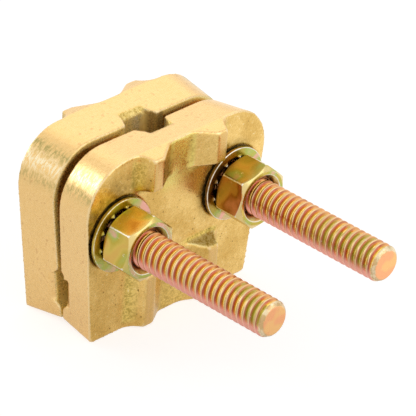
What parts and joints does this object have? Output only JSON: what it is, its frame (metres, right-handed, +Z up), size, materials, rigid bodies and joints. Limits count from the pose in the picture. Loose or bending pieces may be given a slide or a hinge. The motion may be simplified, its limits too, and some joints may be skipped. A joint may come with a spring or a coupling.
{
  "type": "ground rod connector",
  "caption": "Cast brass clamp that joins a ground rod and its wire: ribbed jaws drawn together by long plated bolts with hex nuts on toothed lock washers.",
  "frame": {"origin": "on the parting plane between the jaws, on the centre line of the upright wire channel, at the level that the jaws stand on", "axes": "+X across the jaws toward the right bolt, +Y along the bolts toward their heads, +Z up along the upright wire channel"},
  "size_m": [0.0402, 0.0529, 0.0322],
  "materials": {
    "jaw_brass": "sand-cast outer faces, linished rim",
    "plated_bolt": "yellow chromate over zinc, glossy, slightly iridescent",
    "plated_washer": "yellow chromate over zinc, glossy",
    "plated_nut": "yellow chromate over zinc, glossy, slightly iridescent"
  },
  "bodies": {
    "rear_jaw": {"rear_jaw": "jaw_brass", "left_bolt": "plated_bolt", "right_bolt": "plated_bolt"},
    "front_jaw": {"front_jaw": "jaw_brass", "left_lock_washer": "plated_washer", "right_lock_washer": "plated_washer"},
    "left_nut": {"left_nut": "plated_nut"},
    "right_nut": {"right_nut": "plated_nut"}
  },
  "joints": [
    {"name": "jaw_slide", "type": "slide", "parent": "rear_jaw", "child": "front_jaw", "axis": [0, -1, 0], "range_m": [0, 0.02667]},
    {"name": "left_nut_turn", "type": "hinge", "parent": "front_jaw", "child": "left_nut", "pos_m": [-0.0127, -0.011, 0.019], "axis": [0, -1, 0], "range_deg": [0, 7560]},
    {"name": "right_nut_turn", "type": "hinge", "parent": "front_jaw", "child": "right_nut", "pos_m": [0.0127, -0.011, 0.019], "axis": [0, -1, 0], "range_deg": [0, 7560]}
  ],
  "couplings": [
    {"joint": "left_nut_turn", "follows": "jaw_slide", "rad_per_m": 4947.4},
    {"joint": "right_nut_turn", "follows": "jaw_slide", "rad_per_m": 4947.4}
  ]
}
